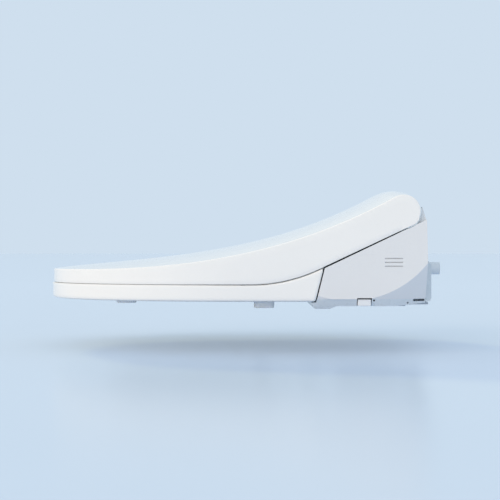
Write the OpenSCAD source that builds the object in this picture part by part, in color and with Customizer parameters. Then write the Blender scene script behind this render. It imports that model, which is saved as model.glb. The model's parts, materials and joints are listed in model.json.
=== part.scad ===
// Electric bidet seat: base with wash and drying works, heated seat ring, lid
// and quick-release mounting plate. The origin is the middle of the line through
// the two fixing slots, on the plane of the toilet rim. +Z is up, -Y points to
// the front of the bowl and +X is the side that carries the air intake.

/* [Overall] */
// Half of the overall width of base, seat and lid
half_w = 190; // [185:1:195]
// Distance from the fixing line to the front tip of the seat
seat_reach = 473; // [470:1:480]
// Setback of the lid's tip behind the seat's tip
lid_setback = 1.5; // [1:0.5:5]
// Y of the widest point of the oval outline
widest_y = -170; // [-180:1:-160]
// Roundness of the oval front, 2 is an ellipse
oval_power = 2.3; // [2:0.1:2.6]
// Wall thickness of the mouldings
wall = 3; // [2.5:0.5:3.5]

/* [Lid] */
// Height of the lid's lower edge along the front half
rim_z = 31.4; // [31:0.2:32]
// Height of the lid's shoulder at the front tip
shoulder_z = 50.5; // [50:0.5:52]
// Rise of the shoulder from the tip to the hinge
shoulder_rise = 97.6; // [96:0.2:98]
// Exponent of the shoulder's sweep
shoulder_power = 2.75; // [2.7:0.05:2.8]
// Height of the lid's crown above its shoulder on the middle line
crown_h = 14; // [8:0.5:15]
// Opening angle of the lid
lid_open = 108; // [90:1:108]

/* [Hinge] */
// Y of the hinge line
hinge_y = 8; // [8:0.5:9]
// Z of the hinge line
hinge_z = 126; // [126:0.5:127]
// Radius of the lid's rear roll at its ends
roll_r = 21.6; // [21:0.2:22]
// Extra radius of the roll at its middle
roll_crown = 12; // [8:0.5:12]
// Radius of the hinge pins
pin_r = 6; // [5:0.5:6.5]
// Radial running clearance of pins and wands
run_clear = 0.06; // [0.02:0.01:0.1]

/* [Seat ring] */
// Height of the ring's underside above the rim
ring_z = 9.6; // [9:0.2:10]
// Height of the sitting surface at the front
sit_z = 44.5; // [42:0.5:45]
// Half width of the opening
open_half_w = 105; // [95:1:115]
// Half length of the opening
open_half_l = 138; // [130:1:142]
// Y of the middle of the opening
open_mid_y = -262; // [-266:1:-260]

/* [Base] */
// Slope of the base's top, rise over run
top_slope = 0.47; // [0.46:0.01:0.48]
// Y of the upper front corner of the base
front_top_y = -93.8; // [-95:0.2:-93]
// Z of the lid line above that corner
front_top_z = 54.5; // [54:0.5:55]
// Y of the rear face of the upper cover
cover_rear_y = 38.5; // [38:0.5:39]
// Y of the rear face of the rear panel
panel_rear_y = 48.4; // [44:0.2:49]
// Radius of the scoop's edge on the side
scoop_r = 128; // [124:1:132]
// Width of the seam between mouldings
seam = 1.3; // [1:0.1:1.5]

/* [Wash wands] */
// Sideways distance of each wand from the middle
wand_x = 12; // [12:0.5:13]
// Radius of a wand
wand_r = 7.5; // [7:0.5:7.5]
// Length of a wand
wand_l = 112; // [108:1:114]
// Downward angle of the wands
wand_angle = 35; // [34:1:36]
// Tooth module of rack and pinion
tooth_m = 1; // [1:0.25:1]
// Teeth on a pinion
pinion_teeth = 18; // [18:1:18]

/* [Mounting] */
// Distance between the two fixing slots
slot_pitch = 140; // [135:1:160]
// Width of a fixing slot
slot_w = 12; // [10:0.5:13]
// Length of a fixing slot
slot_l = 40; // [30:1:44]
// Outside diameter of the water inlet, G 3/8
inlet_d = 16.66; // [16:0.01:17]
// Sideways place of the water inlet
inlet_x = 100; // [90:1:110]
// Height of the water inlet
inlet_z = 51.5; // [50:0.5:53]

/* [Hidden] */

$fn = 48;
big = 700;
lid_tip_y = -seat_reach + lid_setback;
shoulder_run = 475.5;
top_angle = atan(top_slope);
lid_line_arc_r = 206;
crown_fall = half_w * half_w;
tower_x0 = 140;
tower_x1 = 176;
tower_r = 18.5;
lug_r = 17;
lug_x0 = 112;
lug_x1 = 138;
floor_top = 6.8;
parting_z = 13;
nose_z = ring_z - 0.9;
wand_tip_y = -88;
wand_tip_z = 11.6;
rack_pitch_x = 9.5;
pinion_r = tooth_m * pinion_teeth / 2;
pinion_y = 30;
nut_r = 8.9;
pinion_x = wand_x + rack_pitch_x + pinion_r;
blower_y = -8;
blower_z = 48;
flap_y = -87.2;
flap_z = 1.6;
deodorizer_x = -60;

// ---------- outline and profile functions ----------

// half width of the seat's oval outline at y, with its front tip at tip_y
function half_width(y, tip_y = -seat_reach, w = half_w) =
  y >= widest_y ? w
  : w * pow(max(0, 1 - pow(min(1, (widest_y - y) / (widest_y - tip_y)), oval_power)), 1 / oval_power);

// plan outline of the oval, inset by d, closed at rear_y
function oval(tip_y, w, rear_y, n = 24) =
  let (half = [for (i = [0:n]) let (a = 90 * i / n)
    [w * pow(sin(a), 2 / oval_power), widest_y - (widest_y - tip_y) * pow(cos(a), 2 / oval_power)]])
  concat(half, [[w, rear_y], [-w, rear_y]], [for (i = [n:-1:1]) [-half[i][0], half[i][1]]]);

// closed egg-shaped outline of the seat's opening, grown by d
function egg(d, n = 60) =
  [for (i = [0:n - 1]) let (a = 360 * i / n)
    [(open_half_w + d) * sign(cos(a)) * pow(abs(cos(a)), 0.92),
     open_mid_y + (open_half_l + d) * sign(sin(a)) * pow(abs(sin(a)), 0.92)]];

// height of the lid's shoulder line at y
function shoulder(y) = shoulder_z + shoulder_rise * pow(max(0, y + seat_reach) / shoulder_run, shoulder_power);

// height of the lid's crown above the shoulder line
function crown(x, y) =
  let (w = half_width(y, lid_tip_y)) crown_h * (w * w - x * x) / crown_fall;

// radius of the lid's rear roll at x
function roll(x) = roll_r + roll_crown * (1 - x * x / crown_fall);

// height of the straight rear stretch of the line under the lid
function lid_line(y) = front_top_z + top_slope * (y - front_top_y);

// the whole line under the lid: flat, an arc, then straight
arc_end_y = front_top_y + ((rim_z + lid_line_arc_r * (1 - cos(top_angle))) - front_top_z) / top_slope;
arc_start_y = arc_end_y - lid_line_arc_r * sin(top_angle);
function under_lid(y) =
  y < arc_start_y ? rim_z
  : y > arc_end_y ? lid_line(y)
  : rim_z + lid_line_arc_r - sqrt(lid_line_arc_r * lid_line_arc_r - (y - arc_start_y) * (y - arc_start_y));

// height of the sitting surface
function sit(y) =
  y < -250 ? sit_z : sit_z + 53 * pow((y + 250) / 214, 1.45);

// top face of the base under lid and seat
function base_top(y) = lid_line(y) - seam / 2;

// front face of the base at height z
function base_front(z) = front_top_y - 10.2 + (z - 12.2) * 0.249;

// point at radius r and angle a about the hinge, in y and z
function about_hinge(r, a) = [hinge_y + r * cos(a), hinge_z + r * sin(a)];

// ---------- shape helpers ----------

module pair() {
  children();
  mirror([1, 0, 0]) children();
}

// polygon in y and z, drawn out along X
module side_prism(points, x0, x1) {
  translate([x0, 0, 0]) rotate([90, 0, 90]) linear_extrude(x1 - x0) polygon(points);
}

module plan_prism(points, z0, z1) {
  translate([0, 0, z0]) linear_extrude(z1 - z0) polygon(points);
}

module box(lo, hi) {
  translate(lo) cube(hi - lo);
}

module x_cyl(y, z, x0, x1, r) {
  translate([x0, y, z]) rotate([0, 90, 0]) cylinder(r = r, h = x1 - x0);
}

module y_cyl(x, z, y0, y1, r) {
  translate([x, y0, z]) rotate([-90, 0, 0]) cylinder(r = r, h = y1 - y0);
}

module z_cyl(x, y, z0, z1, r) {
  translate([x, y, z0]) cylinder(r = r, h = z1 - z0);
}

// barrel of revolution about the hinge line: the roll's radius plus gap
module roll_barrel(gap, reach) {
  steps = 12;
  points = [for (i = [-steps:steps]) let (x = reach * i / steps) [roll(x) + gap, x]];
  translate([0, hinge_y, hinge_z]) rotate([0, 90, 0])
    rotate_extrude($fn = 96) polygon(concat([[0, -reach]], points, [[0, reach]]));
}

// solid through side profiles that stand at the given x values
module profile_stack(xs, profiles) {
  n = len(profiles[0]);
  k = len(xs);
  points = [for (i = [0:k - 1]) each [for (p = profiles[i]) [xs[i], p[0], p[1]]]];
  sides = [for (i = [0:k - 2]) each [for (j = [0:n - 1]) let (j2 = (j + 1) % n)
    each [[i * n + j, i * n + j2, (i + 1) * n + j2], [i * n + j, (i + 1) * n + j2, (i + 1) * n + j]]]];
  polyhedron(points, concat([[for (j = [n - 1:-1:0]) j]], sides, [[for (j = [0:n - 1]) (k - 1) * n + j]]), convexity = 6);
}

module wand_frame() {
  translate([0, wand_tip_y, wand_tip_z]) rotate([wand_angle, 0, 0]) children();
}

// ---------- base ----------

cover_side = [[base_front(parting_z), parting_z], [base_front(52.9), 52.9],
  [37.2, base_top(37.2)], [cover_rear_y, 60], [cover_rear_y, parting_z]];
cover_inside = [[base_front(parting_z) + wall, parting_z - 1], [base_front(50) + wall, 50],
  [34.5, base_top(34.5) - wall - 1], [cover_rear_y - wall, 60], [cover_rear_y - wall, parting_z - 1]];

// side limit of the base: flat cheek inside the scoop's circle, sloping in outside it
module scoop_limit(inset) {
  depth = 40;
  pair() {
    translate([half_w - inset - depth, -62, 139]) rotate([0, 90, 0])
      cylinder(r1 = scoop_r + 60, r2 = scoop_r, h = depth, $fn = 120);
    box([-1, -150, -20], [half_w - depth - inset + 0.01, 90, 200]);
  }
}

// chamfered underside of the base, seen from the front
module under_limit(inset) {
  w = half_w - inset;
  translate([0, 90, 0]) rotate([90, 0, 0]) linear_extrude(240)
    polygon([[-w + 14, -1], [w - 14, -1], [w - 9, 3.8], [w, 15], [w, 200], [-w, 200], [-w, 15], [-w + 9, 3.8]]);
}

// ridge behind the roll
module rear_ridge() {
  side_prism([[20, 98], [cover_rear_y, 98], [cover_rear_y - 0.5, 112], [37.2, 115.6], [32.4, 132],
    [24, 118]], -182, 182);
}

module screw_bosses(r, z0, z1) {
  for (x = [-160, 160]) for (y = [-82.5, 20]) z_cyl(x, y, z0, z1, r);
  for (x = [-72, 72]) z_cyl(x, 28, z0, z1, r);
}

module wand_passage(grow) {
  wand_frame() pair() {
    y_cyl(wand_x, 0, -40, 60, wand_r + grow);
    box([wand_x, -40, -3.2 - grow], [wand_x + 10.6 + grow, 60, 3.2 + grow]);
  }
}

module upper_cover() color("whitesmoke") {
  difference() {
    union() {
      difference() {
        intersection() {
          side_prism(cover_side, -half_w, half_w);
          scoop_limit(0);
        }
        difference() {
          intersection() {
            side_prism(cover_inside, -half_w + wall, half_w - wall);
            scoop_limit(wall);
          }
          roll_barrel(seam + wall, half_w + 5);
        }
      }
      rear_ridge();
      intersection() {
        screw_bosses(4.5, parting_z + 3, 120);
        side_prism(cover_side, -half_w + 1, half_w - 1);
      }
    }
    roll_barrel(seam, half_w + 5);
    screw_bosses(1.85, parting_z, 26);
    wand_passage(2);
    y_cyl(inlet_x, inlet_z - 12, 30, cover_rear_y + 1, 9);
    y_cyl(-120, 32, 30, cover_rear_y + 1, 5);
    box([-44.5, 30, 23], [44.5, cover_rear_y + 1, 51]);
    for (i = [0:2])
      box([half_w - 6, -16.8, 54.7 + 5 * i], [half_w + 1, 6.3, 56.1 + 5 * i]);
    for (y = [-52, -36]) x_cyl(y, 40, -half_w - 1, -half_w + 6, 5.2);
    box([-half_w - 1, -26, 36.5], [-half_w + 6, -12, 43.5]);
    box([half_w - 26, -52.4, 8], [half_w + 1, -33.4, 14.5]);
  }
}

module lower_chassis() color("gainsboro") {
  side = [[base_front(parting_z) - 0.2, parting_z], [base_front(nose_z) + 0.2, nose_z], [-111, nose_z],
    [-109.4, 5], [-106, 0], [-87, 0],
    [-78, 3.8], [0, 3.8], [cover_rear_y, 7.7], [cover_rear_y, parting_z]];
  difference() {
    intersection() {
      side_prism(side, -half_w, half_w);
      scoop_limit(0);
      under_limit(0);
    }
    intersection() {
      box([-half_w, base_front(parting_z) + wall, floor_top], [half_w, cover_rear_y - wall, 30]);
      scoop_limit(wall + 2);
      under_limit(wall + 2);
    }
    screw_bosses(2, -1, 30);
    wand_passage(2);
    box([48, -102, -1], [84, flap_y + 2.3, 20]);
    box([half_w - 28, -52.4, -1], [half_w + 1, -33.4, 30]);
    box([99.5, -47, -1], [110.5, -39, floor_top + 1]);
    box([150, 21.7, 9.8], [half_w, cover_rear_y + 1, parting_z + 1]);
    x_cyl(-30.5, 11.4, 170, half_w + 1, 1.3);
    x_cyl(14.5, 8, 150, half_w, 1.2);
  }
  difference() {
    intersection() {
      screw_bosses(4.5, floor_top, parting_z + 3);
      scoop_limit(wall + 2.2);
    }
    screw_bosses(2, -1, 30);
  }
  for (x = [46, 78.5]) x_cyl(flap_y, flap_z + 0.3, x, x + 7.5, 0.74);
}

module rear_panel() color("gainsboro") {
  difference() {
    union() {
      box([-158, cover_rear_y, 9.4], [158, panel_rear_y - 1.5, 60]);
      box([-155, cover_rear_y, 12.4], [155, panel_rear_y, 57.4]);
    }
    y_cyl(inlet_x, inlet_z - 12, cover_rear_y - 1, panel_rear_y + 1, 9);
    y_cyl(-120, 32, cover_rear_y - 1, panel_rear_y + 1, 7.1);
    for (i = [-6:6]) box([i * 7 - 2, cover_rear_y - 1, 24], [i * 7 + 2, panel_rear_y + 1, 50]);
  }
}

module hinge_towers() color("silver") {
  web = [[-34, base_top(-34)], [6.5, base_top(6.5)], about_hinge(tower_r, -95), about_hinge(0.1, 0),
    about_hinge(tower_r, 150)];
  pair() difference() {
    union() {
      x_cyl(hinge_y, hinge_z, tower_x0, tower_x1, tower_r);
      side_prism(web, tower_x0, tower_x1);
    }
    x_cyl(hinge_y, hinge_z, tower_x0 - 1, tower_x1 + 1, 11);
  }
}

module hinge_dampers() color("dimgray") {
  pair() difference() {
    x_cyl(hinge_y, hinge_z, tower_x0, tower_x1, 11);
    x_cyl(hinge_y, hinge_z, tower_x0 - 1, tower_x1 + 1, pin_r + run_clear);
  }
}

// ---------- wash works ----------

module nozzle_guide() color("lightgray") {
  difference() {
    wand_frame() union() {
      box([-20.2, 4, -10.5], [20.2, 100, 10.5]);
      pair() box([20.2 - 0.2, 18, 5], [pinion_x + 12, 42, 8]);
      pair() box([20.2 - 0.2, 18, -8], [pinion_x + 12, 42, -5]);
    }
    wand_frame() pair() {
      y_cyl(wand_x, 0, 0, 120, wand_r + run_clear);
      box([wand_x, 0, -3.4], [30, 120, 3.4]);
      translate([pinion_x, pinion_y, -20]) cylinder(r = 2.5 + run_clear, h = 40);
    }
    box([-25, -110, -20], [25, -60, floor_top]);
  }
  difference() {
    for (x = [-16, 16]) box([x - 3, -30, floor_top], [x + 3, -18, 44]);
    wand_frame() box([-30, -10, -10.5], [30, 130, 60]);
  }
}

module wand_motors() color("silver") {
  wand_frame() pair() translate([pinion_x, pinion_y, 8]) cylinder(r = 10, h = 14);
}

module rack_teeth() {
  count = 27;
  pitch = PI * tooth_m;
  half_root = pitch / 4 + 1.1 * tooth_m * tan(20) - 0.08;
  half_tip = pitch / 4 - 0.9 * tooth_m * tan(20) - 0.08;
  for (i = [-1:count]) translate([0, pinion_y + (i - 0.5) * pitch, -3]) linear_extrude(6)
    polygon([[rack_pitch_x - 1.3, -half_root], [rack_pitch_x - 1.1, -half_root], [rack_pitch_x + 0.9, -half_tip],
      [rack_pitch_x + 0.9, half_tip], [rack_pitch_x - 1.1, half_root], [rack_pitch_x - 1.3, half_root]]);
}

module wand() {
  translate([wand_x, 0, 0]) {
    difference() {
      union() {
        y_cyl(0, 0, 12, wand_l, wand_r);
        box([5, 22, -3], [rack_pitch_x - 1.1, wand_l + 5, 3]);
        rack_teeth();
      }
      y_cyl(0, 0, 30, wand_l + 6, 3);
    }
  }
}

module tip(holes) {
  translate([wand_x, 0, 0]) difference() {
    union() {
      translate([0, 12, 0]) rotate([90, 0, 0]) cylinder(r = wand_r, h = 10.4);
      translate([0, 1.6, 0]) rotate([90, 0, 0]) cylinder(r1 = wand_r, r2 = wand_r - 1.6, h = 1.6, $fn = 60);
    }
    for (i = [0:holes - 1]) translate([0, 7 + 2.2 * (i - (holes - 1) / 2), 2]) cylinder(r = 0.7, h = 8);
  }
}

module wash_wand() color("white") wand_frame() wand();

module wash_tip() color("silver") wand_frame() tip(3);

module bidet_wand() color("white") wand_frame() mirror([1, 0, 0]) wand();

module bidet_tip() color("silver") wand_frame() mirror([1, 0, 0]) tip(5);

// involute point on a gear flank at radius r for base radius rb
function involute(r, rb) = let (a = acos(rb / r)) tan(a) * 180 / PI - a;

module gear_outline(teeth, m, backlash) {
  rp = m * teeth / 2;
  rb = rp * cos(20);
  r_out = rp + 0.9 * m;
  r_root = rp - 1.15 * m;
  half = 90 / teeth - backlash / rp * 180 / PI / 2 + involute(rp, rb);
  radii = [for (k = [0:5]) max(rb, r_root) + (r_out - max(rb, r_root)) * k / 5];
  left = [for (r = radii) let (a = -half + involute(r, rb)) [r * cos(a), r * sin(a)]];
  one = concat([[r_root * cos(half), -r_root * sin(half)]], left,
    [for (i = [5:-1:0]) [left[i][0], -left[i][1]]], [[r_root * cos(half), r_root * sin(half)]]);
  polygon([for (t = [0:teeth - 1]) each [for (p = one) let (a = 360 * t / teeth)
    [p[0] * cos(a) - p[1] * sin(a), p[0] * sin(a) + p[1] * cos(a)]]]);
}

module pinion() {
  translate([pinion_x, pinion_y, 0]) {
    translate([0, 0, -3]) linear_extrude(6) rotate(180) gear_outline(pinion_teeth, tooth_m, 0.16);
    translate([0, 0, -8]) cylinder(r = 2.5, h = 16);
    for (z = [-4.6, 3]) translate([0, 0, z]) cylinder(r = 4, h = 1.6);
  }
}

module wash_pinion() color("goldenrod") wand_frame() pinion();

module bidet_pinion() color("goldenrod") wand_frame() mirror([1, 0, 0]) pinion();

// ---------- drying works ----------

module blower_housing() color("gray") {
  difference() {
    union() {
      x_cyl(blower_y, blower_z, 126, 154, 28);
      box([126, blower_y - 28, 24], [154, blower_y, blower_z]);
      box([134, blower_y - 8, floor_top], [146, blower_y + 8, 24]);
    }
    x_cyl(blower_y, blower_z, 128, 152, 25.5);
    x_cyl(blower_y, blower_z, 151, 155, 15);
    x_cyl(blower_y, blower_z, 125, 129, 4);
    box([128, blower_y - 29, 26], [152, blower_y - 8, 40]);
  }
}

module blower_motor() color("silver") {
  difference() {
    x_cyl(blower_y, blower_z, 106, 126, 13);
    x_cyl(blower_y, blower_z, 118, 127, 2 + run_clear);
  }
}

module blower_impeller() color("darkslategray") {
  x_cyl(blower_y, blower_z, 118.5, 150, 2);
  x_cyl(blower_y, blower_z, 130, 132, 23);
  x_cyl(blower_y, blower_z, 130, 140, 5);
  for (i = [0:17]) translate([131, blower_y, blower_z]) rotate([i * 20, 0, 0])
    translate([0, 17, 0]) rotate([35, 0, 0]) translate([0, -0.6, -3.5]) cube([17, 1.2, 8]);
}

duct_outer = [[127, -36], [153, -36], [153, -60], [86, -103.5], [46, -103.5], [46, -84], [127, -52]];
duct_inner = [[129, -35], [151, -35], [151, -58.9], [84, -101.7], [48, -101.7], [48, -85.4], [129, -53.4]];

// space behind the base's front wall, gap away from it
module behind_front(gap) {
  side_prism([[base_front(0) + wall + gap, 0], [base_front(60) + wall + gap, 60], [60, 60], [60, 0]], 40, 160);
}

module dryer_duct() color("dimgray") {
  difference() {
    intersection() {
      plan_prism(duct_outer, 24, 42);
      behind_front(0.5);
    }
    intersection() {
      plan_prism(duct_inner, 26, 40);
      behind_front(2.3);
    }
    box([48, -95.4, 20], [84, -86, 26.5]);
  }
  difference() {
    box([46, -97.4, floor_top], [86, -84, 24]);
    box([48, -95.4, 0], [84, -86, 30]);
  }
}

module dryer_heater() color("orangered") {
  for (i = [0:3]) box([130.5 + i * 5.5, -50, 28], [132 + i * 5.5, -38, 38]);
  box([130.5, -45, 27.2], [148.5, -43, 28]);
}

module dryer_flap() color("whitesmoke") {
  difference() {
    union() {
      box([49.5, -101, 0.4], [82.5, flap_y - 1.4, 2]);
      x_cyl(flap_y, flap_z + 0.3, 49.5, 82.5, 1.5);
    }
    x_cyl(flap_y, flap_z + 0.3, 49, 54, 0.8);
    x_cyl(flap_y, flap_z + 0.3, 78, 83, 0.8);
  }
}

module deodorizer_housing() color("gray") {
  difference() {
    z_cyl(deodorizer_x, -70, floor_top, 28, 17);
    z_cyl(deodorizer_x, -70, floor_top + 2, 26, 15);
    z_cyl(deodorizer_x, -70, 25, 29, 8);
    z_cyl(deodorizer_x, -70, floor_top + 1, floor_top + 2.5, 1.5 + run_clear);
  }
}

module deodorizer_rotor() color("darkslategray") {
  z_cyl(deodorizer_x, -70, floor_top + 1.2, 20, 1.5);
  z_cyl(deodorizer_x, -70, floor_top + 4, floor_top + 6, 13);
  for (i = [0:11]) translate([deodorizer_x, -70, floor_top + 6]) rotate(i * 30) translate([8, -0.5, -0.5]) cube([5, 1, 12]);
}

module carbon_filter() color("black") {
  difference() {
    box([deodorizer_x - 17, -50, floor_top], [deodorizer_x + 17, -26, 31]);
    for (i = [0:5]) box([deodorizer_x - 15 + i * 5.4, -51, 9], [deodorizer_x - 12 + i * 5.4, -48, 29]);
  }
}

// ---------- water and electrics ----------

module water_tank() color("lightsteelblue") {
  difference() {
    union() {
      for (y = [-66, -22]) z_cyl(-97, y, floor_top, 46, 12);
      for (y = [-66, -22]) z_cyl(-146, y, floor_top, 46, 12);
      box([-158, -66, floor_top], [-85, -22, 46]);
      box([-146, -78, floor_top], [-97, -10, 46]);
    }
    box([-155, -75, floor_top + 3], [-88, -13, 43]);
    y_cyl(-120, 26, -14, -9, 4);
    z_cyl(-110, -44, 42, 47, 4);
  }
}

module tank_element() color("silver") {
  for (x = [-136, -106]) y_cyl(x, 24, -62, -20, 3.5);
  for (y = [-62, -20]) x_cyl(y, 24, -136, -106, 3.5);
}

module inlet_valve() color("white") {
  difference() {
    union() {
      box([86, 7, 30], [114, 33, 56]);
    }
    y_cyl(inlet_x, inlet_z - 12, 3, 40, 5);
  }
}

module valve_coil() color("saddlebrown") {
  difference() {
    box([88, 8, 56], [112, 30, 76]);
    z_cyl(inlet_x, 19, 74, 77, 4);
  }
}

module inlet_connector() color("lightsteelblue") {
  difference() {
    union() {
      y_cyl(inlet_x, inlet_z, panel_rear_y, 68, inlet_d / 2);
      y_cyl(inlet_x, inlet_z, panel_rear_y, 53, nut_r);
      y_cyl(inlet_x, inlet_z - 12, 33, panel_rear_y, 8.6);
      box([inlet_x - 12, panel_rear_y, 30], [inlet_x + 12, panel_rear_y + 1.6, 61]);
    }
    y_cyl(inlet_x, inlet_z, panel_rear_y + 4, 69, 5.5);
  }
}

module inlet_nut() color("darkgray") {
  difference() {
    translate([inlet_x, panel_rear_y + 1.6, inlet_z]) rotate([-90, 0, 0]) cylinder(r = nut_r + 2.2, h = 3, $fn = 6);
    y_cyl(inlet_x, inlet_z, 47, 54, nut_r + 0.05);
  }
}

module diverter_valve() color("white") {
  box([-64, 0, 24], [-34, 26, 46]);
  z_cyl(-49, 13, 46, 60, 9);
}

module pipe_run(points, r) {
  for (i = [0:len(points) - 2]) {
    a = points[i];
    b = points[i + 1];
    d = b - a;
    length = norm(d);
    translate(a) rotate([0, acos(d[2] / length), atan2(d[1], d[0])]) cylinder(r = r, h = length);
    translate(a) sphere(r = r);
  }
}

module water_pipes() color("lightblue") {
  difference() {
    pipe_run([[100, 12, 30], [100, 12, 14], [-78, 12, 14], [-78, -2, 14], [-120, -2, 14], [-120, -2, 26],
      [-120, -10, 26]], 3.5);
    box([95, 5, 29.9], [105, 20, 40]);
  }
  pipe_run([[-110, -44, 46], [-110, -44, 53], [-110, 4, 53], [-80, 4, 53], [-80, 10, 53], [-80, 10, 35],
    [-64, 10, 35]], 3);
}

module control_board() color("darkgreen") {
  box([-165, -30, 62], [-88, 10, 63.6]);
}

module board_parts() color("dimgray") {
  box([-160, -14, 63.6], [-140, 4, 74]);
  box([-130, -20, 63.6], [-112, -6, 68]);
  for (i = [0:3]) z_cyl(-104 + (i % 2) * 9, -4 - floor(i / 2) * 10, 63.6, 72, 3.6);
}

module power_supply() color("darkgray") {
  difference() {
    box([-152, 14, floor_top], [-84, 33, 50]);
    for (i = [0:7]) box([-148 + i * 8, 13, 18], [-144 + i * 8, 16, 42]);
  }
}

module cord_gland() color("dimgray") {
  difference() {
    union() {
      y_cyl(-120, 32, cover_rear_y, 56, 7);
      y_cyl(-120, 32, panel_rear_y, panel_rear_y + 3, 10);
    }
    y_cyl(-120, 32, cover_rear_y - 1, 57, 4);
  }
}

module case_screws() color("silver") {
  intersection() {
    screw_bosses(1.8, 4.6, 25);
    box([-big, -big, 0], [big, big, 100]);
  }
}

module receiver_window() color("black") {
  box([-half_w + 1, -26, 36.5], [-half_w + 3.4, -12, 43.5]);
}

module side_button(y) {
  x_cyl(y, 40, -half_w - 0.6, -half_w + 4, 5);
  x_cyl(y, 40, -half_w + 4, -half_w + 5.2, 6.4);
}

module power_button() color("white") side_button(-52);

module wash_button() color("white") side_button(-36);

// ---------- mounting ----------

module release_button() color("ivory") {
  side_prism([[-51.4, 4.2], [-34.4, 4.2], [-34.4, 12.9], [-51.4, 12.9]], half_w - 20, half_w - 2.4);
}

module release_latch() color("silver") {
  box([109, -46, floor_top + 0.4], [half_w - 20, -40, floor_top + 3.4]);
  box([105.5, -46, 1.2], [109, -40, floor_top + 3.4]);
}

module mounting_plate() color("gainsboro") {
  difference() {
    union() {
      box([-100, -60, 0], [100, 22, 3.4]);
      box([-56, 20, 0], [56, 60, 3.4]);
      side_prism([[52, 0], [59.4, 0], [59.4, 9.4], [63, 14.2], [60.6, 14.2], [56.4, 9.4], [56.4, 3.4], [52, 3.4]], -40, 40);
    }
    pair() {
      for (s = [-1, 1]) z_cyl(slot_pitch / 2 + s * (slot_l - slot_w) / 2, 0, -1, 5, slot_w / 2);
      box([slot_pitch / 2 - (slot_l - slot_w) / 2, -slot_w / 2, -1], [slot_pitch / 2 + (slot_l - slot_w) / 2, slot_w / 2, 5]);
    }
  }
}

// ---------- seat ----------

function seat_side(drop) =
  let (ys = [for (y = [-seat_reach - 2:8:-36]) y])
  concat([[-seat_reach - 2, -5], [base_front(-5) - seam, -5], [base_front(51) - seam, 51 + seam], [-36, base_top(-36) + 1]],
    [for (i = [len(ys) - 1:-1:0]) [ys[i], sit(ys[i]) - drop]]);

module seat_ring(inset, z0, z1, tip_inset = 0) {
  difference() {
    plan_prism(oval(-seat_reach + inset + tip_inset, half_w - inset, 60), z0, z1);
    plan_prism(egg(inset), z0 - 1, z1 + 1);
  }
}

// seat side below the lid line, full width
module seat_lower_limit() {
  ys = [for (y = [arc_start_y:6:-80]) y];
  side_prism(concat([[-seat_reach - 5, -10], [-60, -10], [-60, under_lid(-60) - seam / 2]],
    [for (i = [len(ys) - 1:-1:0]) [ys[i], under_lid(ys[i]) - seam / 2]], [[-seat_reach - 5, rim_z - seam / 2]]), -half_w - 5, half_w + 5);
}

module seat_top() color("white") {
  difference() {
    union() {
      difference() {
        intersection() {
          union() {
            intersection() {
              seat_ring(0, ring_z, 120);
              seat_lower_limit();
            }
            seat_ring(wall + 2.2, ring_z, 120, 2);
          }
          side_prism(seat_side(0), -half_w - 5, half_w + 5);
        }
        intersection() {
          seat_ring(wall + 5.2, ring_z - 1, 120, 2);
          side_prism(concat([[-seat_reach, -6], [base_front(-6) - seam - wall, -6], [base_front(54) - seam - wall, 54],
            [-39, base_top(-39) + 4]], [for (y = [-39:-10:-seat_reach]) [y, sit(y) - wall]]), -half_w + 8, half_w - 8);
        }
      }
      pair() {
        x_cyl(hinge_y, hinge_z, lug_x0, lug_x1, lug_r);
        side_prism([[-42, base_top(-42) + 5], [-36, base_top(-36) + 1], about_hinge(lug_r, -88), about_hinge(0.1, 0),
          about_hinge(lug_r, 122), [-36, sit(-36)], [-42, sit(-42) - 1]], lug_x0, lug_x1);
      }
    }
    x_cyl(hinge_y, hinge_z, -lug_x1 - 1, lug_x1 + 1, pin_r);
    pair() box([144, -60, 50], [200, 40, 140]);
  }
}

module seat_bottom() color("white") {
  intersection() {
    seat_ring(wall + 5.2, ring_z, ring_z + wall, 2);
    side_prism([[-seat_reach, 0], [base_front(0) - seam - wall, 0], [base_front(20) - seam - wall, 20], [-seat_reach, 20]],
      -half_w + 8, half_w - 8);
  }
}

module seat_heater() color("orange") {
  intersection() {
    seat_ring(16, ring_z, 120);
    side_prism(concat([for (y = [-seat_reach:10:-130]) [y, sit(y) - wall - 1.2]],
      [for (y = [-136:-10:-seat_reach]) [y, sit(y) - wall - 0.2]]), -half_w, half_w);
  }
}

module seat_bumpers() color("lightblue") {
  pair() {
    for (p = [[150, -171.5, 0], [104, -358, 4.6]]) {
      box([p[0] - 7, p[1] - 6.5, p[2]], [p[0] + 7, p[1] + 6.5, ring_z]);
      for (s = [-1, 1]) z_cyl(p[0], p[1] + 6.5 * s, p[2], ring_z, 7);
    }
  }
}

module seat_hinge_pins() color("silver") {
  pair() x_cyl(hinge_y, hinge_z, lug_x0, 157, pin_r);
}

// ---------- lid ----------

roll_start = 119;
roll_end = -64.8;

function top_ys() = [for (i = [0:22]) lid_tip_y + (-2.6 - lid_tip_y) * i / 22];

function lid_profile(x) =
  let (ys = top_ys(), r = roll(x))
  concat([for (y = ys) [y, max(rim_z + 4, shoulder(y) + crown(x, y))]],
    [for (k = [0:16]) about_hinge(r, roll_start + (roll_end - roll_start) * k / 16)],
    [for (y = [arc_end_y:-9:arc_start_y]) [y, under_lid(y) + seam / 2]],
    [[lid_tip_y, rim_z + seam / 2]]);

function lid_hollow(x) =
  let (ys = top_ys(), r = roll(x) - wall)
  concat([for (y = ys) [y, max(rim_z + 1, shoulder(y) + crown(x, y) - wall * sqrt(1 + pow((shoulder(y + 1) - shoulder(y)), 2)))]],
    [for (k = [0:14]) about_hinge(r, roll_start - (roll_start + 30) * k / 14)],
    [about_hinge(r + 25, -30), [60, 0], [lid_tip_y - 5, 0], [lid_tip_y - 5, rim_z + 1]]);

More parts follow.
